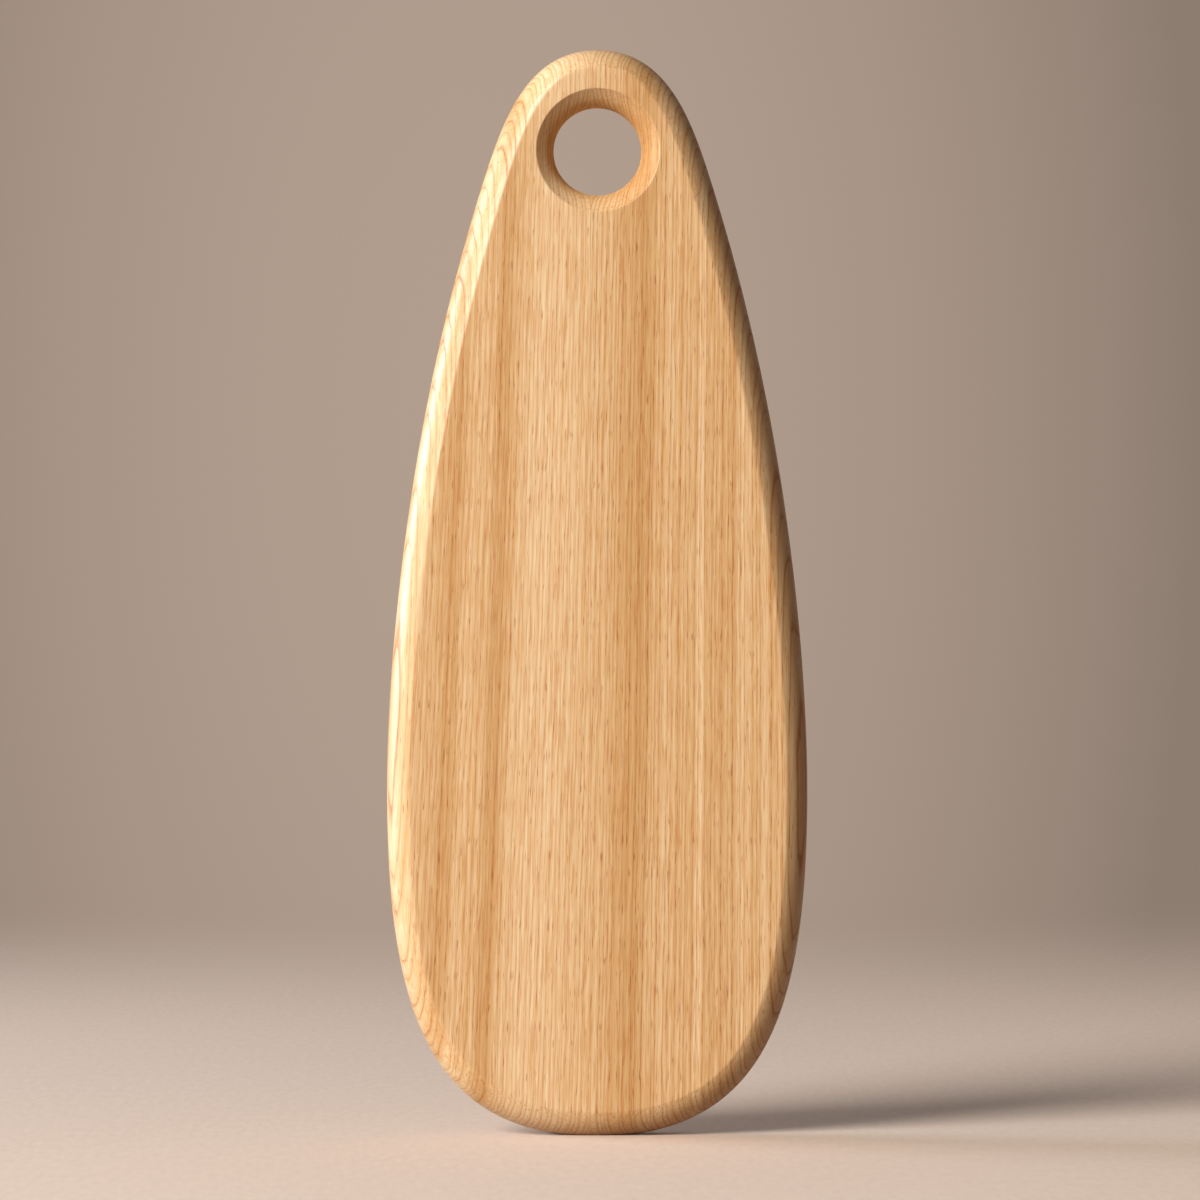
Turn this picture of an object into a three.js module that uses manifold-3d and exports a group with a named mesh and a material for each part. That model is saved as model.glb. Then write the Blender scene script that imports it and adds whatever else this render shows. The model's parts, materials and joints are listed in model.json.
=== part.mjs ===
// An egg-shaped oak cutting board with a finger hole, standing on its broad end.
// The board is glued up from six upright staves, with a thin film of glue in each joint.
// Millimetres, +Z along the grain, Y through the thickness, origin under the middle of the foot.

import * as THREE from 'three';
import { mergeVertices } from 'three/addons/utils/BufferGeometryUtils.js';
import Module from 'manifold-3d';

// The outline, on the middle plane of the thickness.
const BOARD_LENGTH = 450;
const BOARD_WIDTH = 174.5;
const BOARD_THICKNESS = 26.8;
const FOOT_FLAT_DEPTH = 0.8;
const BELLY_HEIGHT = 143;
const SHOULDER_HEIGHT = 398.5;
const SHOULDER_WIDTH = 92.6;
const SHOULDER_LEAN = THREE.MathUtils.degToRad(17.8);

// How far each curve of the outline runs along its end tangents.
const FOOT_SWEEP = 72;
const BELLY_RUN_DOWN = 88;
const BELLY_RUN_UP = 38.5;
const SHOULDER_RUN_DOWN = 117.5;
const SHOULDER_RUN_UP = 26;
const CROWN_SWEEP = 28;

// The rounded rim: how far the flat face lies inside the outline.
const RIM_INSET_HEAD = 7.6;
const RIM_INSET_SIDE = 9.4;
const RIM_INSET_FOOT = 11;

// The finger hole, rounded over from a narrow straight land to both faces.
const HOLE_DIAMETER = 36.4;
const HOLE_LIP_DIAMETER = 51;
const HOLE_LAND = 2;
const HOLE_BELOW_CROWN = 42.2;

// The staves, from the left rim to the right rim, and the glue between them.
const LEFT_STRIP_WIDTH = 17.5;
const LEFT_MIDDLE_WIDTH = 38.5;
const MIDDLE_JOINT_OFFSET = -3;
const HOLE_SIDE_WOOD = 3.8;
const RIGHT_STRIP_WIDTH = 22;
const GLUE_FILM = 0.125;

// How finely the curves are cut into facets.
const FOOT_CURVE_STEPS = 18;
const SIDE_CURVE_STEPS = 18;
const CROWN_CURVE_STEPS = 12;
const RIM_STEPS = 6;
const HOLE_STEPS = 48;
const LIP_STEPS = 6;

// Room by which a cutting solid runs past the board, and how close two points are to be one.
const CUT_MARGIN = 20;
const SAME_POINT = 1e-5;

const OAK_TONES = [0xd0a06c, 0xdcb181, 0xdfb583, 0xd6a873, 0xe3bd8f, 0xdeb482];
const GLUE_TONE = 0xb98a55;

const halfThickness = BOARD_THICKNESS / 2;
const holeHeight = BOARD_LENGTH - HOLE_BELOW_CROWN;

const wasm = await Module();
wasm.setup();

// One half of the outline, from the foot up the right side to the crown.
function rightSideCurves() {
  const halfWidth = BOARD_WIDTH / 2;
  const lean = new THREE.Vector2(-Math.sin(SHOULDER_LEAN), Math.cos(SHOULDER_LEAN));
  const foot = new THREE.Vector2(0, -FOOT_FLAT_DEPTH);
  const belly = new THREE.Vector2(halfWidth, BELLY_HEIGHT);
  const shoulder = new THREE.Vector2(SHOULDER_WIDTH / 2, SHOULDER_HEIGHT);
  const crown = new THREE.Vector2(0, BOARD_LENGTH);
  const footCurve = new THREE.CubicBezierCurve(
    foot,
    new THREE.Vector2(FOOT_SWEEP, foot.y),
    new THREE.Vector2(halfWidth, belly.y - BELLY_RUN_DOWN),
    belly,
  );
  const sideCurve = new THREE.CubicBezierCurve(
    belly,
    new THREE.Vector2(halfWidth, belly.y + BELLY_RUN_UP),
    shoulder.clone().addScaledVector(lean, -SHOULDER_RUN_DOWN),
    shoulder,
  );
  const crownCurve = new THREE.CubicBezierCurve(
    shoulder,
    shoulder.clone().addScaledVector(lean, SHOULDER_RUN_UP),
    new THREE.Vector2(CROWN_SWEEP, crown.y),
    crown,
  );
  return [
    [footCurve, FOOT_CURVE_STEPS],
    [sideCurve, SIDE_CURVE_STEPS],
    [crownCurve, CROWN_CURVE_STEPS],
  ];
}

// The whole outline as points with their outward normals, anticlockwise from the foot.
function boardOutline() {
  const right = [];
  for (const [curve, steps] of rightSideCurves()) {
    for (let step = 0; step < steps; step += 1) {
      const along = step / steps;
      const tangent = curve.getTangentAt(along);
      right.push({ at: curve.getPointAt(along), normal: new THREE.Vector2(tangent.y, -tangent.x) });
    }
  }
  right.push({ at: new THREE.Vector2(0, BOARD_LENGTH), normal: new THREE.Vector2(0, 1) });
  const left = right.slice(1, -1).reverse().map(({ at, normal }) => ({
    at: new THREE.Vector2(-at.x, at.y),
    normal: new THREE.Vector2(-normal.x, normal.y),
  }));
  return [...right, ...left];
}

// The rim is rounded less at the head than at the sides, and most at the foot.
function rimInset(normal) {
  const end = normal.y > 0 ? RIM_INSET_HEAD : RIM_INSET_FOOT;
  return THREE.MathUtils.lerp(RIM_INSET_SIDE, end, normal.y ** 2);
}

// A point of the rim: an arc that leaves the middle plane square and meets the face at a soft crease.
function rimPoint({ at, normal }, turn) {
  const inset = rimInset(normal);
  const radius = (inset ** 2 + halfThickness ** 2) / (2 * inset);
  const angle = turn * Math.asin(halfThickness / radius);
  const inward = radius * (1 - Math.cos(angle));
  return [at.x - normal.x * inward, radius * Math.sin(angle), at.y - normal.y * inward];
}

// The board before it is sawn and bored: rings of the outline stacked from the front face to the back.
function blankGeometry() {
  const outline = boardOutline();
  const count = outline.length;
  const positions = [];
  const triangles = [];
  for (let ring = -RIM_STEPS; ring <= RIM_STEPS; ring += 1) {
    for (const point of outline) {
      positions.push(...rimPoint(point, ring / RIM_STEPS));
    }
  }
  for (let ring = 0; ring < 2 * RIM_STEPS; ring += 1) {
    for (let side = 0; side < count; side += 1) {
      const next = (side + 1) % count;
      const a = ring * count + side;
      const b = ring * count + next;
      triangles.push(a, b + count, b, a, a + count, b + count);
    }
  }
  const lastRing = 2 * RIM_STEPS * count;
  for (let side = 1; side < count - 1; side += 1) {
    triangles.push(0, side, side + 1);
    triangles.push(lastRing, lastRing + side + 1, lastRing + side);
  }
  const geometry = new THREE.BufferGeometry();
  geometry.setAttribute('position', new THREE.Float32BufferAttribute(positions, 3));
  geometry.setIndex(triangles);
  return geometry;
}

// What the cutter takes out for the finger hole: a round bar, waisted to the land in its middle.
function holeGeometry() {
  const radius = HOLE_DIAMETER / 2;
  const lip = HOLE_LIP_DIAMETER / 2 - radius;
  const landEnd = HOLE_LAND / 2;
  const depth = halfThickness - landEnd;
  const lipRadius = (lip ** 2 + depth ** 2) / (2 * lip);
  const lipAngle = Math.asin(depth / lipRadius);
  const upper = [];
  for (let step = 0; step <= LIP_STEPS; step += 1) {
    const angle = lipAngle * step / LIP_STEPS;
    const out = radius + lipRadius * (1 - Math.cos(angle));
    upper.push(new THREE.Vector2(out, landEnd + lipRadius * Math.sin(angle)));
  }
  const end = halfThickness + CUT_MARGIN;
  upper.push(new THREE.Vector2(radius + lip, end), new THREE.Vector2(0, end));
  const lower = upper.map((point) => new THREE.Vector2(point.x, -point.y)).reverse();
  const geometry = new THREE.LatheGeometry([...lower, ...upper], HOLE_STEPS);
  geometry.translate(0, 0, holeHeight);
  return geometry;
}

// A box between two planes of X and two of Z that runs right through the thickness.
function slabGeometry(left, right, bottom, top) {
  const geometry = new THREE.BoxGeometry(1, BOARD_THICKNESS + 2 * CUT_MARGIN, 1);
  const position = geometry.getAttribute('position');
  for (let index = 0; index < position.count; index += 1) {
    position.setX(index, position.getX(index) < 0 ? left : right);
    position.setZ(index, position.getZ(index) < 0 ? bottom : top);
  }
  return geometry;
}

function solidFrom(geometry) {
  const bare = geometry.clone();
  bare.deleteAttribute('normal');
  bare.deleteAttribute('uv');
  const merged = mergeVertices(bare, SAME_POINT);
  return new wasm.Manifold(new wasm.Mesh({
    numProp: 3,
    vertProperties: new Float32Array(merged.getAttribute('position').array),
    triVerts: new Uint32Array(merged.getIndex().array),
  }));
}

function geometryFrom(solid) {
  const mesh = solid.getMesh();
  const geometry = new THREE.BufferGeometry();
  geometry.setAttribute('position', new THREE.BufferAttribute(mesh.vertProperties, 3));
  geometry.setIndex(new THREE.BufferAttribute(mesh.triVerts, 1));
  const flat = geometry.toNonIndexed();
  flat.computeVertexNormals();
  return flat;
}

function boredBoard() {
  const reach = BOARD_WIDTH + CUT_MARGIN;
  const underFoot = slabGeometry(-reach, reach, -FOOT_FLAT_DEPTH - CUT_MARGIN, 0);
  return solidFrom(blankGeometry()).subtract(solidFrom(underFoot)).subtract(solidFrom(holeGeometry()));
}

// The joints' places across the board, and the room left for the wood between them.
const middleJoint = MIDDLE_JOINT_OFFSET;
const rightHoleJoint = HOLE_DIAMETER / 2 + HOLE_SIDE_WOOD;
const joints = [
  middleJoint - LEFT_MIDDLE_WIDTH - LEFT_STRIP_WIDTH,
  middleJoint - LEFT_MIDDLE_WIDTH,
  middleJoint,
  rightHoleJoint,
  rightHoleJoint + RIGHT_STRIP_WIDTH,
];
const farLeft = -BOARD_WIDTH / 2 - CUT_MARGIN;
const farRight = BOARD_WIDTH / 2 + CUT_MARGIN;
const low = -CUT_MARGIN;
const high = BOARD_LENGTH + CUT_MARGIN;

const staveNames = [
  'stave_1_left_rim',
  'stave_2_left_strip',
  'stave_3_left_of_hole',
  'stave_4_right_of_hole',
  'stave_5_right_strip',
  'stave_6_right_rim',
];

function woodMaterial(tone) {
  return new THREE.MeshStandardMaterial({ color: tone, roughness: 0.62, metalness: 0 });
}

function glueMaterial() {
  return new THREE.MeshStandardMaterial({ color: GLUE_TONE, roughness: 0.5, metalness: 0 });
}

const board = new THREE.Group();
const bored = boredBoard();

function addPiece(name, slab, material) {
  const mesh = new THREE.Mesh(geometryFrom(bored.intersect(solidFrom(slab))), material);
  mesh.name = name;
  board.add(mesh);
}

staveNames.forEach((name, index) => {
  const left = index === 0 ? farLeft : joints[index - 1] + GLUE_FILM / 2;
  const right = index === joints.length ? farRight : joints[index] - GLUE_FILM / 2;
  addPiece(name, slabGeometry(left, right, low, high), woodMaterial(OAK_TONES[index]));
});

// A joint that runs into the finger hole has one film of glue above the hole and one below.
joints.forEach((joint, index) => {
  const left = joint - GLUE_FILM / 2;
  const right = joint + GLUE_FILM / 2;
  const name = `glue_line_${index + 1}`;
  if (Math.abs(joint) < HOLE_DIAMETER / 2) {
    addPiece(`${name}_below_hole`, slabGeometry(left, right, low, holeHeight), glueMaterial());
    addPiece(`${name}_above_hole`, slabGeometry(left, right, holeHeight, high), glueMaterial());
  } else {
    addPiece(name, slabGeometry(left, right, low, high), glueMaterial());
  }
});

export default board;
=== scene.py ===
# %% [markdown]
# An egg-shaped oak cutting board, standing on its broad end.
# The packed frame holds the faceted pieces at their real size: six staves and the glue between them.
# Each piece is made again here as a smooth mesh in the same place, and then gets its finish.

# %% Load the packed frame
import json
from math import atan2, cos, pi, radians, sin, sqrt, tan

import bmesh
import bpy
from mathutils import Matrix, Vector
from mathutils.geometry import interpolate_bezier


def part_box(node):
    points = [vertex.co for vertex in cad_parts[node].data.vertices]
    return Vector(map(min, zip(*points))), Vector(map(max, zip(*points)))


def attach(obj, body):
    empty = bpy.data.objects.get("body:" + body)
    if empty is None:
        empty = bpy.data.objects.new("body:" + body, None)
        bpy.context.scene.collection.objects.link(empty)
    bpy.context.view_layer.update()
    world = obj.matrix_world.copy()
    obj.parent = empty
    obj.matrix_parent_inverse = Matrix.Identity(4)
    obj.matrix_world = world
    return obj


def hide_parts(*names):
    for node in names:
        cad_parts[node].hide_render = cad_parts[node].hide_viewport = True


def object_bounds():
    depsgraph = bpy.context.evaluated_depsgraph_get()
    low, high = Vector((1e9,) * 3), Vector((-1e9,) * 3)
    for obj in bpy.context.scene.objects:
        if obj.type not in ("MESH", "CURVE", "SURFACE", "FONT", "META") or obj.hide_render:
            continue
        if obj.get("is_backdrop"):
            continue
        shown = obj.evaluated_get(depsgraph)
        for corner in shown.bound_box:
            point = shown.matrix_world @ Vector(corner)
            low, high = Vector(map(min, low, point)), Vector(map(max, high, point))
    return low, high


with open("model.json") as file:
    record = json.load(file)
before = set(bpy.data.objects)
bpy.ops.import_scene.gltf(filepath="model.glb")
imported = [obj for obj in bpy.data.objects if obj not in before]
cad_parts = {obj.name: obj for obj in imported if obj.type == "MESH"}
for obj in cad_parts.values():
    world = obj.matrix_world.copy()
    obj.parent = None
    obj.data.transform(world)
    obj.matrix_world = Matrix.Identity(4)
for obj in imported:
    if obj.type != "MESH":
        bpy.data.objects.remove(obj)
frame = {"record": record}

MM = 0.001
cad_low, cad_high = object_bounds()
half_width = cad_high.x
half_thickness = cad_high.y
board_length = cad_high.z
print("board", [round(side / MM, 1) for side in cad_high - cad_low], "mm")

# %% [markdown]
# The outline is the first thing a maker draws on the wood.
# It could be traced point by point, but three smooth curves to a side hold it with fewer numbers:
# one from the foot round to the belly, one up to the shoulder and one over the crown.
# Each curve is a cubic Bezier, so its two inner points only say how far it runs along its end tangents.

# %% Draw the outline
FOOT_FLAT_DEPTH = 0.8 * MM
BELLY_HEIGHT = 143 * MM
SHOULDER_HEIGHT = 398.5 * MM
SHOULDER_HALF_WIDTH = 46.3 * MM
SHOULDER_LEAN = radians(17.8)
FOOT_SWEEP = 72 * MM
BELLY_RUN_DOWN = 88 * MM
BELLY_RUN_UP = 38.5 * MM
SHOULDER_RUN_DOWN = 117.5 * MM
SHOULDER_RUN_UP = 26 * MM
CROWN_SWEEP = 28 * MM
CURVE_STEPS = 64
ACROSS = Vector((1, 0, 0))
UP = Vector((0, 0, 1))


def draw_outline():
    """The outline on the middle plane, as points that run from the foot up the right side and round."""
    lean = Vector((-sin(SHOULDER_LEAN), 0, cos(SHOULDER_LEAN)))
    foot = -FOOT_FLAT_DEPTH * UP
    belly = half_width * ACROSS + BELLY_HEIGHT * UP
    shoulder = SHOULDER_HALF_WIDTH * ACROSS + SHOULDER_HEIGHT * UP
    crown = board_length * UP
    curves = [
        (foot, foot + FOOT_SWEEP * ACROSS, belly - BELLY_RUN_DOWN * UP, belly),
        (belly, belly + BELLY_RUN_UP * UP, shoulder - SHOULDER_RUN_DOWN * lean, shoulder),
        (shoulder, shoulder + SHOULDER_RUN_UP * lean, crown + CROWN_SWEEP * ACROSS, crown),
    ]
    right = []
    for knots in curves:
        right += interpolate_bezier(*knots, CURVE_STEPS + 1)[:-1]
    left = [Vector((-point.x, 0, point.z)) for point in reversed(right[1:])]
    return right + [crown] + left


def outward_normals(points):
    normals = []
    for index in range(len(points)):
        along = points[(index + 1) % len(points)] - points[index - 1]
        normals.append(Vector((along.z, 0, -along.x)).normalized())
    return normals


outline = draw_outline()
normals = outward_normals(outline)
widest = 2 * max(point.x for point in outline)
print("outline", len(outline), "points, widest", round(widest / MM, 1), "mm")

# %% [markdown]
# The rim is rounded over with a large radius that stops short of the face, which leaves a crease.
# Sandpaper then softens the crease. A bevel would do both in one go, but it can't change its width
# along the edge, and here the round is narrower at the head than at the foot.
# So the section is worked out as two arcs: the round, and a small one that blends it into the face.

# %% Work out the section of the rim
RIM_INSET_HEAD = 7.6 * MM
RIM_INSET_SIDE = 9.4 * MM
RIM_INSET_FOOT = 11 * MM
RIM_SOFTENING = 3.2 * MM
ROUND_STEPS = 14
SOFT_STEPS = 5
FLAT_MARGIN = 1.2 * MM
RIGHT_ANGLE = pi / 2


def arc(centre, radius, start, end, steps):
    """Points of (inward, up) on an arc that runs straight up at angle 0 and level at a right angle."""
    inward, up = centre
    angles = [start + (end - start) * step / steps for step in range(steps + 1)]
    return [(inward - radius * cos(angle), up + radius * sin(angle)) for angle in angles]


def rim_section(inset):
    """From the middle of the rim over its round and its soft crease to a little way along the face."""
    radius = (inset ** 2 + half_thickness ** 2) / (2 * inset)
    rise = half_thickness - RIM_SOFTENING
    reach = sqrt((radius - RIM_SOFTENING) ** 2 - rise ** 2)
    meeting = atan2(rise, reach)
    flat_start = radius - reach
    round_over = arc((radius, 0), radius, 0, meeting, ROUND_STEPS)
    crease = arc((flat_start, rise), RIM_SOFTENING, meeting, RIGHT_ANGLE, SOFT_STEPS)
    return round_over + crease[1:] + [(flat_start + FLAT_MARGIN, half_thickness)]


def rim_inset(normal):
    """How wide the round is, seen from the front: least at the head and most at the foot."""
    end = RIM_INSET_HEAD if normal.z > 0 else RIM_INSET_FOOT
    return RIM_INSET_SIDE + (end - RIM_INSET_SIDE) * normal.z ** 2


print("rim section", len(rim_section(RIM_INSET_SIDE)), "points")

# %% [markdown]
# The rim is one band that goes round the board. A grid is the quickest start for such a band:
# its columns follow the outline and its rows follow the section from the front face to the back.
# Every vertex is moved to its place, and merging doubles closes the seam.

# %% Wrap the rim
GRID_HALF = 0.5
SAME_PLACE = 0.001 * MM


def wrap_rim(bm):
    columns = len(outline)
    sections = [rim_section(rim_inset(normal)) for normal in normals]
    half_rows = len(sections[0]) - 1
    rows = 2 * half_rows
    grid = bmesh.ops.create_grid(bm, x_segments=columns, y_segments=rows, size=GRID_HALF)
    for vert in grid["verts"]:
        column = round((vert.co.x + GRID_HALF) * columns) % columns
        row = round((vert.co.y + GRID_HALF) * rows) - half_rows
        inward, depth = sections[column][abs(row)]
        side = -1 if row < 0 else 1
        vert.co = outline[column] - inward * normals[column] + Vector((0, side * depth, 0))
    bmesh.ops.remove_doubles(bm, verts=bm.verts, dist=SAME_PLACE)


board = bmesh.new()
wrap_rim(board)
print("rim", len(board.faces), "faces")

# %% [markdown]
# The finger hole is bored with a drill and rounded over from both faces with a router bit.
# A narrow land is left in its middle, and each round ends in a short straight chamfer, whose edge is
# sanded a little. What such tools leave is a turned shape, so half of the section is drawn once,
# mirrored to the other face and spun round the axis of the hole.
# The spin merges its last step with its first.

# %% Turn the finger hole
HOLE_RADIUS = 18.2 * MM
LIP_RADIUS = 25.5 * MM
HOLE_LAND = 2 * MM
HOLE_BELOW_CROWN = 42.2 * MM
LIP_TILT = radians(45)
LIP_SOFTENING = 0.8 * MM
HOLE_STEPS = 144
hole_centre = (board_length - HOLE_BELOW_CROWN) * UP


def lip_section():
    """From the land of the hole over its round, its chamfer and its soft edge onto the face."""
    inset = LIP_RADIUS - HOLE_RADIUS
    rise = half_thickness - HOLE_LAND / 2
    turn = RIGHT_ANGLE - LIP_TILT
    radius = (rise * tan(turn) - inset) / (1 / cos(turn) - 1)
    flat_start = inset + LIP_SOFTENING * tan(LIP_TILT / 2)
    round_over = arc((radius, 0), radius, 0, turn, ROUND_STEPS)
    edge = arc((flat_start, rise - LIP_SOFTENING), LIP_SOFTENING, turn, RIGHT_ANGLE, SOFT_STEPS)
    return round_over + edge + [(flat_start + FLAT_MARGIN, rise)]


def turn_hole(bm):
    land_end = HOLE_LAND / 2
    upper = [(HOLE_RADIUS + outward, land_end + up) for outward, up in lip_section()]
    lower = [(radius, -depth) for radius, depth in reversed(upper)]
    section = [hole_centre + Vector((radius, depth, 0)) for radius, depth in lower + upper]
    verts = [bm.verts.new(point) for point in section]
    edges = [bm.edges.new(pair) for pair in zip(verts, verts[1:])]
    bmesh.ops.spin(bm, geom=verts + edges, cent=hole_centre, axis=(0, 1, 0), angle=2 * pi,
                   steps=HOLE_STEPS, use_merge=True)


rim_faces = len(board.faces)
turn_hole(board)
print("hole", len(board.faces) - rim_faces, "faces")

# %% [markdown]
# The two faces are flat and reach from the rim to the lip of the hole.
# A fill between two rings of edges closes each of them. The rings already lie a little way inside the
# soft creases, so the shading of the creases doesn't spread over the flat.
# The foot is then planed flat where the board stands, by cutting the mesh with a level plane.

# %% Close the faces and plane the foot
CUT_TOLERANCE = 0.0001 * MM


def close_face(bm, side):
    ring = [edge for edge in bm.edges if edge.is_boundary and edge.verts[0].co.y * side > 0]
    bmesh.ops.triangle_fill(bm, edges=ring, use_beauty=True, normal=(0, side, 0))


def saw(bm, place, direction):
    """Cuts away what lies behind a plane, and closes the cut."""
    parts = list(bm.verts) + list(bm.edges) + list(bm.faces)
    cut = bmesh.ops.bisect_plane(bm, geom=parts, dist=CUT_TOLERANCE, plane_co=place,
                                 plane_no=direction, clear_inner=True)
    edges = [part for part in cut["geom_cut"] if isinstance(part, bmesh.types.BMEdge)]
    bmesh.ops.triangle_fill(bm, edges=edges, use_beauty=True, normal=-direction)


close_face(board, -1)
close_face(board, 1)
bmesh.ops.recalc_face_normals(board, faces=board.faces)
saw(board, Vector((0, 0, 0)), UP)
bmesh.ops.recalc_face_normals(board, faces=board.faces)
open_edges = [edge for edge in board.edges if not edge.is_manifold]
litres = board.calc_volume() / (100 * MM) ** 3
print("board", len(board.faces), "faces,", len(open_edges), "open edges,", round(litres, 3), "litres")

# %% [markdown]
# On the real board the staves are glued first and shaped together, so the curves run on over the joints.
# The model keeps that order: the whole board is shaped first, and each piece is sawn out of a copy.
# The planes of the saw come from the frame, so each piece lies exactly where its solid does.
# A film of glue is sawn out in the same way, only very thin.

# %% Saw out the staves and the glue
SEAM_TOLERANCE = 0.05 * MM
SHARP_EDGE = radians(35)


def saw_out(node):
    low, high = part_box(node)
    bm = board.copy()
    if low.x > -half_width + SEAM_TOLERANCE:
        saw(bm, low.x * ACROSS, ACROSS)
    if high.x < half_width - SEAM_TOLERANCE:
        saw(bm, high.x * ACROSS, -ACROSS)
    if node.endswith("below_hole"):
        saw(bm, hole_centre, -UP)
    if node.endswith("above_hole"):
        saw(bm, hole_centre, UP)
    bmesh.ops.recalc_face_normals(bm, faces=bm.faces)
    return bm


def make_piece(node):
    bm = saw_out(node)
    mesh = bpy.data.meshes.new(node + "_smooth")
    bm.to_mesh(mesh)
    bm.free()
    mesh.shade_smooth()
    mesh.set_sharp_from_angle(angle=SHARP_EDGE)
    piece = bpy.data.objects.new(node + "_smooth", mesh)
    bpy.context.scene.collection.objects.link(piece)
    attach(piece, "root")
    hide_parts(node)
    return piece


slots = {part["node"]: part["material_slot"] for part in frame["record"]["subparts"]}
pieces = {node: make_piece(node) for node, slot in slots.items()}
board.free()
for node, piece in pieces.items():
    print(node, len(piece.data.polygons), "faces")

# %% [markdown]
# A wood finish is a solid pattern: the rings go right through the board, so the face, the rim and the
# hole all show the same rings cut at other angles. That is why the pattern reads Object coordinates.
# A picture wrapped round the board couldn't do that.
# A small helper keeps the node work short: it adds a node, fills its inputs and hands back its output.

# %% A helper for node work
class NodeWork:
    """Adds nodes to a material or to the world."""

    def __init__(self, owner):
        owner.use_nodes = True
        self.tree = owner.node_tree

    def put(self, socket, value):
        if isinstance(value, bpy.types.NodeSocket):
            self.tree.links.new(value, socket)
        else:
            socket.default_value = value

    def node(self, kind, inputs, **settings):
        made = self.tree.nodes.new(kind)
        for key, value in settings.items():
            setattr(made, key, value)
        for key, value in inputs.items():
            self.put(made.inputs[key], value)
        return made

    def math(self, operation, *values):
        return self.node("ShaderNodeMath", dict(enumerate(values)), operation=operation).outputs[0]

    def vector(self, operation, *values):
        made = self.node("ShaderNodeVectorMath", dict(enumerate(values)), operation=operation)
        return made.outputs["Value" if operation in ("LENGTH", "DOT_PRODUCT") else "Vector"]

    def combine(self, **values):
        return self.node("ShaderNodeCombineXYZ", values).outputs[0]

    def split(self, vector):
        return self.node("ShaderNodeSeparateXYZ", {"Vector": vector}).outputs

    def place(self, kind="Object"):
        return self.node("ShaderNodeTexCoord", {}).outputs[kind]


print("node work", [name for name in vars(NodeWork) if not name.startswith("_")])

# %% [markdown]
# On top of those plain nodes come the few moves that a finish is made of: blending two colours, easing
# from one state to another, moving a value about its middle, and noise with a seed, so that every run
# gives the same wood. A board's dark wood is also warmer than its pale wood, so a ramp of tones raises
# them to a lower power in red than in blue.

# %% The moves of a finish
WARMTH = (0.65, 1.15, 1.9)


class Finish(NodeWork):
    """A material in the making."""

    def __init__(self, name):
        self.material = bpy.data.materials.new(name)
        super().__init__(self.material)
        self.shader = self.tree.nodes["Principled BSDF"]

    def dress(self, inputs):
        for key, value in inputs.items():
            self.put(self.shader.inputs[key], value)

    def blend(self, share, first, second, kind="MIX"):
        made = self.node("ShaderNodeMix", {0: share, 6: first, 7: second}, data_type="RGBA",
                         blend_type=kind)
        return made.outputs[2]

    def ease(self, value, low, high):
        """0 below low, 1 above high and a smooth climb between them."""
        made = self.node("ShaderNodeMapRange", {0: value, 1: low, 2: high},
                         interpolation_type="SMOOTHSTEP")
        return made.outputs[0]

    def ease_out(self, value, low, high):
        """1 below low, 0 above high and a smooth fall between them."""
        return self.math("SUBTRACT", 1.0, self.ease(value, low, high))

    def sway(self, value, share, amount):
        """A value moved to either side, by how far a share lies from one half."""
        return self.math("MULTIPLY_ADD", self.math("SUBTRACT", share, 0.5), amount, value)

    def noise(self, vector, seed, detail=0.0):
        made = self.node("ShaderNodeTexNoise", {"Vector": vector, "W": seed, "Scale": 1.0,
                                                "Detail": detail}, noise_dimensions="4D")
        return made.outputs["Fac"]

    def warm_steps(self, value, stops):
        """A ramp of tones, given as (place, level) pairs, that grow warmer as they darken."""
        made = self.node("ShaderNodeValToRGB", {"Fac": value})
        elements = made.color_ramp.elements
        while len(elements) < len(stops):
            elements.new(0.5)
        for element, (place, level) in zip(elements, stops):
            element.position = place
            element.color = (*(level ** power for power in WARMTH), 1)
        return made.outputs["Color"]


def paint(red, green, blue):
    """A colour given as on a screen, from 0 to 255, made linear for the shader."""
    levels = []
    for channel in (red, green, blue):
        share = channel / 255
        levels.append(share / 12.92 if share <= 0.04045 else ((share + 0.055) / 1.055) ** 2.4)
    return (*levels, 1)


print("middle grey", [round(level, 3) for level in paint(128, 128, 128)])

# %% [markdown]
# Grain is never quite straight. On this board it leans a little to the right, draws together towards
# the head, wanders slowly and wavers finely. Bending the coordinate across the grain, once, bends
# everything that is drawn with it, so the lines, pores and bands all keep to the same grain.

# %% The bent grain
GRAIN_LEAN = 0.022
GRAIN_FAN = 0.3
# Each bend: how far it moves the grain, its cells to a metre across, through and along, seed and detail.
GRAIN_BENDS = [
    (2.2 * MM, (22, 22, 7), 3.0, 1.0),
    (0.9 * MM, (300, 300, 36), 8.0, 0.0),
]


def grain_point(finish):
    """Where a point lies across the grain, through the thickness and up the board."""
    place = finish.place()
    x, y, z = finish.split(place)
    height = finish.math("SUBTRACT", z, board_length / 2)
    lean = finish.math("SUBTRACT", GRAIN_LEAN, finish.math("MULTIPLY", x, GRAIN_FAN))
    bent = finish.math("SUBTRACT", x, finish.math("MULTIPLY", lean, height))
    for amount, cells, seed, detail in GRAIN_BENDS:
        noise = finish.noise(finish.vector("MULTIPLY", place, cells), seed, detail)
        bent = finish.sway(bent, noise, amount)
    return bent, y, z


def grain_noise(finish, point, across, along, detail, seed):
    """Noise that is fine across the grain and long along it."""
    x, y, z = point
    stretched = finish.combine(
        X=finish.math("MULTIPLY", x, 1 / across),
        Y=finish.math("MULTIPLY", y, 1 / across),
        Z=finish.math("MULTIPLY", z, 1 / along),
    )
    return finish.noise(stretched, seed, detail)


print("grain leans", round(1000 * GRAIN_LEAN), "mm in a metre and has", len(GRAIN_BENDS), "bends")

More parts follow.
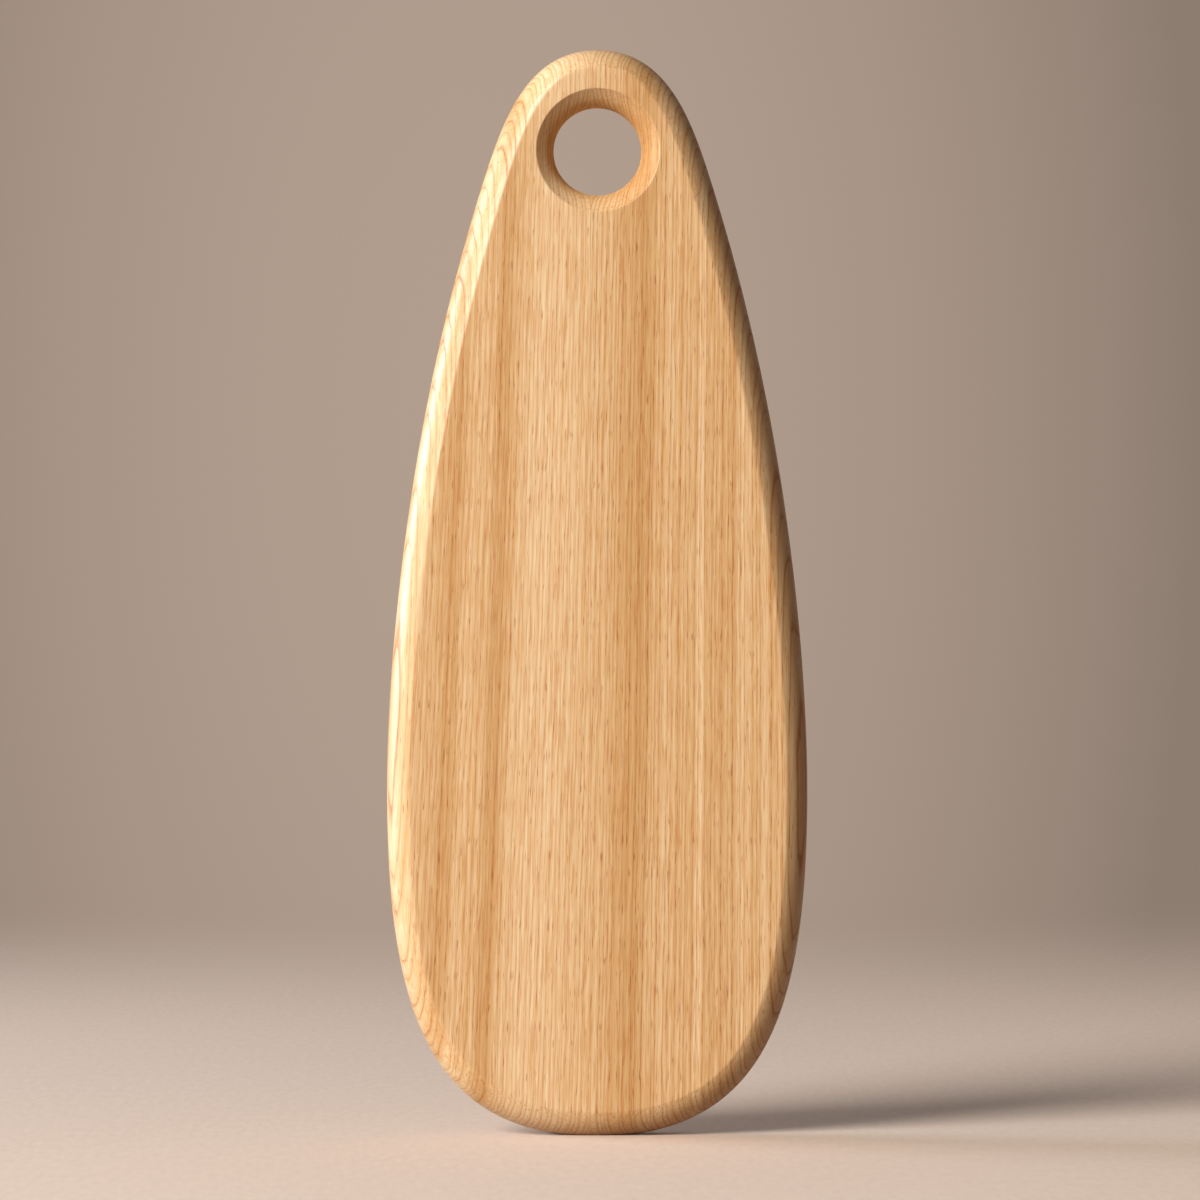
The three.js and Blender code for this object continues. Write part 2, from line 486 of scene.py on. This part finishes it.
# %% [markdown]
# Oak grows a ring a year. The staves were cut so that the rings cross them at a slant, about a centre
# line that lies outside the stave, and the rings of good and bad years differ in width and in tone.
# Distance from the centre line, divided by the width of a ring, counts the years. Its fraction says how
# far through a year's growth a point lies, and its whole number picks the tone of that year.

# %% The rings
# The count of years drifts by this much, and the noise behind it has so many cells to a ring.
RING_DRIFT = 3.0
DRIFT_CELLS = 0.45


def ring_season(finish, point, pith, ring_pitch, seed):
    """How far through its year's growth a point lies, from 0 to 1, and a tone for that year."""
    arm = finish.combine(
        X=finish.math("SUBTRACT", point[0], pith[0]),
        Y=finish.math("SUBTRACT", point[1], pith[1]),
    )
    count = finish.math("DIVIDE", finish.vector("LENGTH", arm), ring_pitch)
    drift = finish.noise(finish.combine(X=finish.math("MULTIPLY", count, DRIFT_CELLS)), seed)
    years = finish.math("MULTIPLY_ADD", drift, RING_DRIFT, count)
    tone = finish.node("ShaderNodeTexWhiteNoise", {"W": finish.math("FLOOR", years)},
                       noise_dimensions="1D")
    return finish.math("FRACT", years), tone.outputs["Value"]


print("the count of years drifts by up to", RING_DRIFT)

# %% [markdown]
# Each ring starts with a row of wide pores, which show as an orange line of short dashes along the
# grain, and goes on with dense wood, which shows as a cream ridge. Fine hair lines and single dark pores
# lie over both. On the rim and in the hole, where the cut turns towards the end grain, the lines run on
# nearly unbroken and most of the hair lines are gone.

# %% The marks of the grain
# Each kind of mark: its size across and along the grain, and its detail.
GRAIN_SIZES = {
    "streak": (4.5 * MM, 190 * MM, 1.0),
    "fibre": (0.62 * MM, 26 * MM, 2.0),
    "dash": (1.2 * MM, 6.5 * MM, 0.0),
    "hair": (0.4 * MM, 14 * MM, 1.0),
    "ridge": (0.9 * MM, 16 * MM, 0.0),
    "pore": (0.5 * MM, 7 * MM, 0.0),
}
# Where a mark starts to show in its noise, and where it is full.
MARK_RANGES = {"dash": (0.36, 0.62), "hair": (0.5, 0.66), "ridge": (0.34, 0.64), "pore": (0.7, 0.78)}
# The parts of a year's growth over which early wood ends, and late wood starts and ends.
EARLY_WOOD_END = (0.04, 0.22)
LATE_WOOD_START = (0.22, 0.42)
LATE_WOOD_END = (0.55, 0.9)
# How much of a line's strength its dashes and its year decide, and the lead that pores have in early wood.
DASH_SHARE = 0.6
YEAR_SHARE = 0.5
PORE_LEAD = 0.1
# Where the rim turns into the face, how unbroken its lines are and what part of its hair lines is gone.
RIM_DEPTHS = (0.84 * half_thickness, 0.99 * half_thickness)
RIM_LINE = 0.9
RIM_HAIR_LOSS = 0.7


def grain_marks(finish, point, season, year_tone, seed):
    """The strength of each kind of mark, from 0 to 1."""
    marks = {}
    for step, (kind, size) in enumerate(GRAIN_SIZES.items(), 1):
        marks[kind] = grain_noise(finish, point, *size, seed + step)
    early = finish.ease_out(season, *EARLY_WOOD_END)
    late = finish.math("MULTIPLY", finish.ease(season, *LATE_WOOD_START),
                       finish.ease_out(season, *LATE_WOOD_END))
    marks["pore"] = finish.math("MULTIPLY_ADD", early, PORE_LEAD, marks["pore"])
    for kind, limits in MARK_RANGES.items():
        marks[kind] = finish.ease(marks[kind], *limits)

    rim = finish.ease_out(finish.math("ABSOLUTE", point[1]), *RIM_DEPTHS)
    dash = finish.math("MAXIMUM", marks["dash"], finish.math("MULTIPLY", rim, RIM_LINE))
    dashed = finish.math("MULTIPLY_ADD", dash, DASH_SHARE, 1 - DASH_SHARE)
    strength = finish.math("MULTIPLY_ADD", year_tone, YEAR_SHARE, 1 - YEAR_SHARE)
    marks["line"] = finish.math("MULTIPLY", finish.math("MULTIPLY", early, dashed), strength)
    hair_left = finish.math("MULTIPLY_ADD", rim, -RIM_HAIR_LOSS, 1.0)
    marks["hair"] = finish.math("MULTIPLY", marks["hair"], hair_left)
    marks["ridge"] = finish.math("MULTIPLY", late, marks["ridge"])
    return marks


print("marks", list(GRAIN_SIZES))

# %% [markdown]
# The colour is laid on as a finisher would stain a plain board to look like this one: a ground between
# warm and pale oak, then each kind of mark in its own colour, and last the broad bands of darker and
# paler wood that run up the whole board. Noise would put those bands anywhere, so they are a short list
# of places across the board, given one by one and corrected by measuring how pale the photographed wood
# is.
# The hole shows end grain, which soaks up more oil, so its wood is a little darker, and the same
# darkening is also painted shade in the hole.
# The palest stop, on the rim at the far left, is a painted highlight, not paler wood.

# %% The colour of the oak
PALE_OAK = paint(243, 213, 171)
WARM_OAK = paint(232, 190, 139)
LINE_ORANGE = paint(202, 138, 74)
PORE_BROWN = paint(172, 102, 44)
RIDGE_CREAM = paint(252, 230, 194)
# In the hole the wood is darker: partly end grain soaked with oil, partly painted shade in the hole.
SOAKED_AND_SHADED_TINT = (0.9, 0.83, 0.7, 1)
SOAKED_AND_SHADED_EDGE = (LIP_RADIUS - 6 * MM, LIP_RADIUS - 2 * MM)
STREAK_WEIGHT = 1.2
FIBRE_WEIGHT = 0.8
YEAR_WEIGHT = 0.3
MARK_COLOURS = {
    "ridge": (0.65, RIDGE_CREAM),
    "line": (0.95, LINE_ORANGE),
    "hair": (0.48, LINE_ORANGE),
    "pore": (0.6, PORE_BROWN),
}
# The bands from left to right, as places in millimetres from the middle, each with its tone.
TONE_BANDS = {
    # The first stop, on the rim at the far left, is a painted highlight: it makes that rim paler than its
    # wood is.
    "left rim and its painted highlight": [(-88, 1.08), (-66, 0.95)],
    "dark streak at the first joint": [(-61, 0.85), (-58, 0.86)],
    "pale strip": [(-55.5, 1.05), (-50, 1.02), (-46, 0.98)],
    "dark streak at the second joint": [(-43, 0.81), (-40, 0.83), (-36, 1)],
    "broad pale band": [(-28, 1.12), (-18, 1.13), (-10, 1.05), (0, 1)],
    "broad dark band": [(6, 0.95), (12, 0.83), (17, 0.77), (19.5, 0.81), (22, 0.94)],
    "plain wood": [(28, 1), (36, 0.97), (40.4, 0.92)],
    "pale strip at the last joint": [(41.4, 1.1), (44, 1.13), (44.7, 0.91)],
    "plain wood by the rim": [(49, 0.92), (57, 0.92)],
    "thin pale strip": [(60, 1.1), (63.2, 0.97)],
    "right rim": [(88, 0.98)],
}
# All the tones are drawn away from 1 by this factor, which makes the bands a little stronger.
BAND_STRENGTH = 1.13
BAND_SPAN = 180 * MM
listed_tones = [tone for band in TONE_BANDS.values() for tone in band]
band_tones = [(place, 1 + (tone - 1) * BAND_STRENGTH) for place, tone in listed_tones]
brightest_band = max(level for place, level in band_tones)


def hole_share(finish):
    """1 inside the finger hole, and 0 on the face and the rim."""
    offset = finish.vector("SUBTRACT", finish.place(), tuple(hole_centre))
    away = finish.vector("LENGTH", finish.vector("MULTIPLY", offset, (1, 0, 1)))
    return finish.ease_out(away, *SOAKED_AND_SHADED_EDGE)


def oak_colour(finish, point, marks, year_tone, in_hole):
    share = finish.sway(0.5, marks["streak"], STREAK_WEIGHT)
    share = finish.sway(share, marks["fibre"], FIBRE_WEIGHT)
    share = finish.sway(share, year_tone, YEAR_WEIGHT)
    ground = finish.node("ShaderNodeClamp", {"Value": share}).outputs[0]
    wood = finish.blend(ground, WARM_OAK, PALE_OAK)
    for kind, (weight, colour) in MARK_COLOURS.items():
        wood = finish.blend(finish.math("MULTIPLY", marks[kind], weight), wood, colour)
    across = finish.math("MULTIPLY_ADD", point[0], 1 / BAND_SPAN, 0.5)
    stops = [(place * MM / BAND_SPAN + 0.5, level / brightest_band) for place, level in band_tones]
    wood = finish.blend(1.0, wood, finish.warm_steps(across, stops), "MULTIPLY")
    # Darkens the hole: oil-soaked end grain and painted shade in the hole together.
    return finish.blend(in_hole, wood, SOAKED_AND_SHADED_TINT, "MULTIPLY")


print("bands", len(TONE_BANDS), "in", len(band_tones), "steps")

# %% [markdown]
# The staves are sanded and oiled, which leaves a soft sheen on the face and the rim. The lines and pores
# stay a little open, so they are lower and duller than the wood between them, and the end grain in the
# hole is duller still. Every stave has rings of its own: those left of the middle joint turn about
# centre lines on their left, and those right of it about centre lines on their right.

# %% Finish the staves
OILED_ROUGHNESS = 0.36
HOLLOW_ROUGHNESS = 0.12
SOAKED_ROUGHNESS = 0.4
OAK_IOR = 1.5
OAK_SPECULAR = 0.5
FIBRE_HEIGHT = 0.4
PORE_DEPTH = 0.2
BUMP_STRENGTH = 0.25
BUMP_DEPTH = 0.2 * MM
PITH_ASIDE = 46 * MM
PITH_IN_FRONT = 25 * MM
LEFT_RINGS = -1
RIGHT_RINGS = 1
# Each stave: the side of its rings, the width of a ring, and a seed.
STAVE_RINGS = {
    "stave_1_left_rim": (LEFT_RINGS, 2.4 * MM, 11),
    "stave_2_left_strip": (LEFT_RINGS, 2.2 * MM, 23),
    "stave_3_left_of_hole": (LEFT_RINGS, 2.0 * MM, 37),
    "stave_4_right_of_hole": (RIGHT_RINGS, 2.1 * MM, 41),
    "stave_5_right_strip": (RIGHT_RINGS, 2.2 * MM, 59),
    "stave_6_right_rim": (RIGHT_RINGS, 2.4 * MM, 67),
}


def oak_finish(name, pith, ring_pitch, seed):
    finish = Finish(name)
    point = grain_point(finish)
    season, year_tone = ring_season(finish, point, pith, ring_pitch, seed)
    marks = grain_marks(finish, point, season, year_tone, seed)
    in_hole = hole_share(finish)
    hollow = finish.math("MULTIPLY_ADD", marks["pore"], PORE_DEPTH, marks["line"])
    height = finish.math("SUBTRACT", finish.math("MULTIPLY", marks["fibre"], FIBRE_HEIGHT), hollow)
    bump = finish.node("ShaderNodeBump", {"Strength": BUMP_STRENGTH, "Distance": BUMP_DEPTH,
                                          "Height": height})
    roughness = finish.math("MULTIPLY_ADD", hollow, HOLLOW_ROUGHNESS, OILED_ROUGHNESS)
    finish.dress({
        "Base Color": oak_colour(finish, point, marks, year_tone, in_hole),
        "Roughness": finish.math("MULTIPLY_ADD", in_hole, SOAKED_ROUGHNESS, roughness),
        "Normal": bump.outputs[0],
        "IOR": OAK_IOR,
        "Specular IOR Level": OAK_SPECULAR,
    })
    return finish.material


for node, (side, pitch, seed) in STAVE_RINGS.items():
    low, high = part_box(node)
    pith = ((low.x + high.x) / 2 + side * PITH_ASIDE, -PITH_IN_FRONT)
    pieces[node].data.materials.append(oak_finish(slots[node], pith, pitch, seed))
    print(node, "rings about", [round(place / MM) for place in pith], "mm")

# %% [markdown]
# Where two staves meet, the squeezed-out glue is sanded flush and leaves a hairline a shade darker than
# the wood. It takes up a little dust along its length, so its colour isn't even.

# %% The glue finish
GLUE_MOTTLE = (3 * MM, 12 * MM, 2.0)
GLUE_SEED = 5.0
GLUE_DARK = paint(188, 136, 82)
GLUE_PALE = paint(214, 166, 112)
GLUE_ROUGHNESS = 0.4
DUST_ROUGHNESS = 0.2


def glue_finish():
    finish = Finish("wood_glue")
    mottle = grain_noise(finish, grain_point(finish), *GLUE_MOTTLE, GLUE_SEED)
    finish.dress({
        "Base Color": finish.blend(mottle, GLUE_DARK, GLUE_PALE),
        "Roughness": finish.math("MULTIPLY_ADD", mottle, DUST_ROUGHNESS, GLUE_ROUGHNESS),
    })
    return finish.material


glue = glue_finish()
glue_lines = [node for node in pieces if node.startswith("glue")]
for node in glue_lines:
    pieces[node].data.materials.append(glue)
print("glue lines", len(glue_lines))

# %% [markdown]
# The board stands on a pale floor that runs on into the backdrop with no line between them.
# A curved wall would stand in the way of a camera behind the board, so the floor is a disc that fades
# out, and the world behind it shows the backdrop's colour to the camera.
# Light that bounces off the floor meets a darker colour, so the shaded rim isn't washed out from below.

# %% The floor
FLOOR_RADIUS = 6.0
FLOOR_SIDES = 96
FLOOR_COLOUR = paint(233, 214, 201)
FLOOR_BOUNCE = paint(150, 122, 98)
FLOOR_ROUGHNESS = 0.9
SPECK_CELLS = (300, 60, 1)
SPECK_SEED = 1.0
SPECK_DETAIL = 3.0
SPECK_RANGE = 0.2
SPECK_LEAST = 0.9
FADE = (0.55, 2.2)


def seen_share(work):
    """1 for what is looked at, straight, in a gloss or through glass, and 0 for bounced light."""
    path = work.node("ShaderNodeLightPath", {}).outputs
    straight = work.math("MAXIMUM", path["Is Camera Ray"], path["Is Glossy Ray"])
    return work.math("MAXIMUM", straight, path["Is Transmission Ray"])


def floor_finish():
    finish = Finish("matte_floor")
    place = finish.place()
    specks = finish.noise(finish.vector("MULTIPLY", place, SPECK_CELLS), SPECK_SEED, SPECK_DETAIL)
    tone = finish.math("MULTIPLY_ADD", specks, SPECK_RANGE, SPECK_LEAST)
    colour = finish.blend(seen_share(finish), FLOOR_BOUNCE, FLOOR_COLOUR)
    finish.dress({
        "Base Color": finish.blend(1.0, colour, tone, "MULTIPLY"),
        "Roughness": FLOOR_ROUGHNESS,
    })
    fade = finish.ease(finish.vector("LENGTH", place), *FADE)
    clear = finish.node("ShaderNodeBsdfTransparent", {})
    mix = finish.node("ShaderNodeMixShader", {0: fade, 1: finish.shader.outputs[0], 2: clear.outputs[0]})
    finish.put(finish.tree.nodes["Material Output"].inputs["Surface"], mix.outputs[0])
    return finish.material


def lay_floor():
    bm = bmesh.new()
    bmesh.ops.create_circle(bm, cap_ends=True, segments=FLOOR_SIDES, radius=FLOOR_RADIUS)
    mesh = bpy.data.meshes.new("floor")
    bm.to_mesh(mesh)
    bm.free()
    mesh.materials.append(floor_finish())
    floor = bpy.data.objects.new("floor", mesh)
    bpy.context.scene.collection.objects.link(floor)
    floor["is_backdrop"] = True


lay_floor()
print("floor reaches", FLOOR_RADIUS, "m and fades out from", FADE[0], "to", FADE[1], "m")

# %% [markdown]
# Two soft lamps stand to the left. The main one is large and warm, in front of the board and above it,
# and casts the shadow back to the right. The other is smaller and cooler, low down and a little behind
# the board: it brings out the left rim, while the right rim stays in shade.
# Each lamp is placed by its turn to the left, its rise above the middle of the board and its distance.

# %% Hang the lamps
MAIN_LAMP = {
    "turn": radians(45), "rise": radians(24), "distance": 4.5, "size": 2.6,
    "power": 289, "colour": (1.0, 0.95, 0.88),
}
RIM_LAMP = {
    "turn": radians(108), "rise": radians(10), "distance": 3.2, "size": 1.4,
    "power": 62, "colour": (0.77, 0.93, 1.12),
}


def hang_lamp(name, turn, rise, distance, size, power, colour):
    way = Vector((-sin(turn) * cos(rise), -cos(turn) * cos(rise), sin(rise)))
    light = bpy.data.lights.new(name, "AREA")
    light.shape = "DISK"
    light.size = size
    light.energy = power
    light.color = colour
    lamp = bpy.data.objects.new(name, light)
    lamp.location = board_length / 2 * UP + way * distance
    lamp.rotation_mode = "QUATERNION"
    lamp.rotation_quaternion = way.to_track_quat("Z", "Y")
    bpy.context.scene.collection.objects.link(lamp)


hang_lamp("main_lamp", **MAIN_LAMP)
hang_lamp("rim_lamp", **RIM_LAMP)
print("lamps", MAIN_LAMP["power"], "and", RIM_LAMP["power"], "W")

# %% [markdown]
# The world has two jobs. To the camera and in reflections it is the backdrop, palest straight behind the
# board. To everything else it is a weak warm fill, with more of it from behind on either side, which
# rounds off the shaded rims and the back without flattening the front.

# %% Set up the world
FILL_LEVEL = 0.043
# The ways that more of the fill comes from, and how much more.
FILL_SIDES = {(-0.8, 0.6, 0): 0.25, (0.9, 0.44, 0): 0.09}
FILL_COLOUR = (1.0, 0.74, 0.5, 1)
BACKDROP = paint(178, 158, 143)
# The backdrop's palest place and how fast it darkens from there, each across and upwards.
BACKDROP_MIDDLE = (0.0, 0.03)
BACKDROP_FALL = (34, 8)
BACKDROP_LEAST = 0.6


def backdrop_level(studio, way):
    """1 straight behind the board, and less to each side of it and above and below."""
    level = 1.0
    parts = studio.split(way)
    for along, middle, fall in zip((parts["X"], parts["Z"]), BACKDROP_MIDDLE, BACKDROP_FALL):
        off = studio.math("SUBTRACT", along, middle)
        drop = studio.math("MULTIPLY", studio.math("MULTIPLY", off, off), fall)
        level = studio.math("SUBTRACT", level, drop)
    return studio.math("MAXIMUM", level, BACKDROP_LEAST)


def fill_level(studio, way):
    """A little light from everywhere, and more from behind on each side."""
    level = FILL_LEVEL
    for side, strength in FILL_SIDES.items():
        share = studio.math("MAXIMUM", studio.vector("DOT_PRODUCT", way, side), 0.0)
        level = studio.math("MULTIPLY_ADD", share, strength, level)
    return level


def glow(studio, colour, level):
    return studio.node("ShaderNodeBackground", {"Color": colour, "Strength": level}).outputs[0]


def set_world():
    world = bpy.data.worlds.new("studio")
    studio = NodeWork(world)
    way = studio.place("Generated")
    fill = glow(studio, FILL_COLOUR, fill_level(studio, way))
    wall = glow(studio, BACKDROP, backdrop_level(studio, way))
    mix = studio.node("ShaderNodeMixShader", {0: seen_share(studio), 1: fill, 2: wall})
    studio.put(studio.tree.nodes["World Output"].inputs["Surface"], mix.outputs[0])
    bpy.context.scene.world = world


set_world()
print("fill", FILL_LEVEL, "and backdrop", [round(level, 3) for level in BACKDROP[:3]])

# %% [markdown]
# The camera stands level with the middle of the board, far away, with a long lens, a touch to the left.
# The lens comes from the width of the picture at the board, so the framing follows from two real sizes.

# %% Camera and view
CAMERA_DISTANCE = 2.7
PICTURE_WIDTH = 498.2 * MM
SENSOR_WIDTH = 36
CAMERA_TURN = radians(1.0)
AIM = Vector((1.1 * MM, 0, 221.8 * MM))

lens = bpy.data.cameras.new("camera")
lens.sensor_width = SENSOR_WIDTH
lens.lens = SENSOR_WIDTH * CAMERA_DISTANCE / PICTURE_WIDTH
camera = bpy.data.objects.new("camera", lens)
camera.location = AIM + CAMERA_DISTANCE * Vector((-sin(CAMERA_TURN), -cos(CAMERA_TURN), 0))
camera.rotation_mode = "QUATERNION"
camera.rotation_quaternion = (AIM - camera.location).to_track_quat("-Z", "Y")
bpy.context.scene.collection.objects.link(camera)
bpy.context.scene.camera = camera
bpy.context.scene.view_settings.view_transform = "Standard"
print("lens", round(lens.lens), "mm")

# %% [markdown]
# Last, the box of the smooth board is set beside the box of the solids, to show that nothing grew.

# %% Compare the sizes and finish
seen_low, seen_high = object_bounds()
growth = (seen_high - cad_high) - (seen_low - cad_low)
print("growth", [round(side / MM, 3) for side in growth], "mm")
